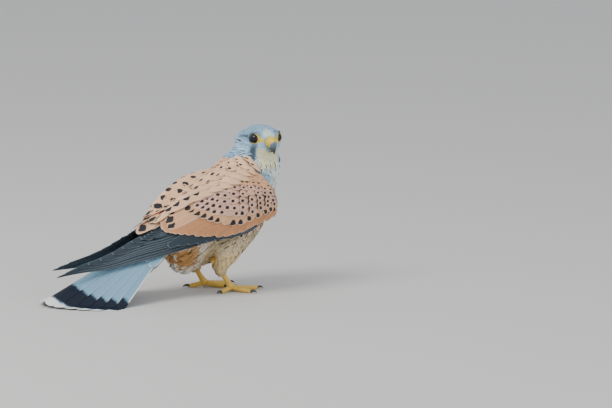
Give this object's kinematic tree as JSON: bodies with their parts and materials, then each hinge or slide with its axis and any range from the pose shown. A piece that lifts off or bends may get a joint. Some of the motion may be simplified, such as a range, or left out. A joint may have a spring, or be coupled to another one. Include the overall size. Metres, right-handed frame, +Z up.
{
  "type": "common kestrel",
  "caption": "Life-size male kestrel standing on the floor with folded wings and a fanned tail, its head turned back over its right shoulder.",
  "frame": {"origin": "Middle of the bird's bounding box, at the level of the floor under its feet.", "axes": "+X is the way the bird's body faces, +Y is its left side, +Z is up. The head looks back towards -Y."},
  "size_m": [0.272, 0.108, 0.1625],
  "materials": {
    "breast": "soft cream and buff body feathers with dark drop streaks",
    "head_grey": "fine blue-grey head feathers, dark malar stripes",
    "wing_rufous": "rufous coverts with dark spots, slate-black flight feathers",
    "tail_grey": "blue-grey tail feathers with a dark band and white tips",
    "cere_yellow": "bare waxy yellow skin",
    "horn": "polished dark horn of bill and claws",
    "eye": "wet dark brown eye",
    "leg_yellow": "yellow scaled legs and toes"
  },
  "bodies": {
    "root": {"torso": "breast", "neck": "breast", "head": "head_grey", "eye_right": "eye", "eye_left": "eye", "cere": "cere_yellow", "bill_upper": "horn", "bill_lower": "horn", "wing_right": "wing_rufous", "wing_left": "wing_rufous", "tail": "tail_grey", "thigh_right": "breast", "thigh_left": "breast", "shank_right": "leg_yellow", "shank_left": "leg_yellow", "foot_right": "leg_yellow", "foot_left": "leg_yellow", "claw_right_middle": "horn", "claw_right_inner": "horn", "claw_right_outer": "horn", "claw_right_hind": "horn", "claw_left_middle": "horn", "claw_left_inner": "horn", "claw_left_outer": "horn", "claw_left_hind": "horn"}
  },
  "joints": []
}
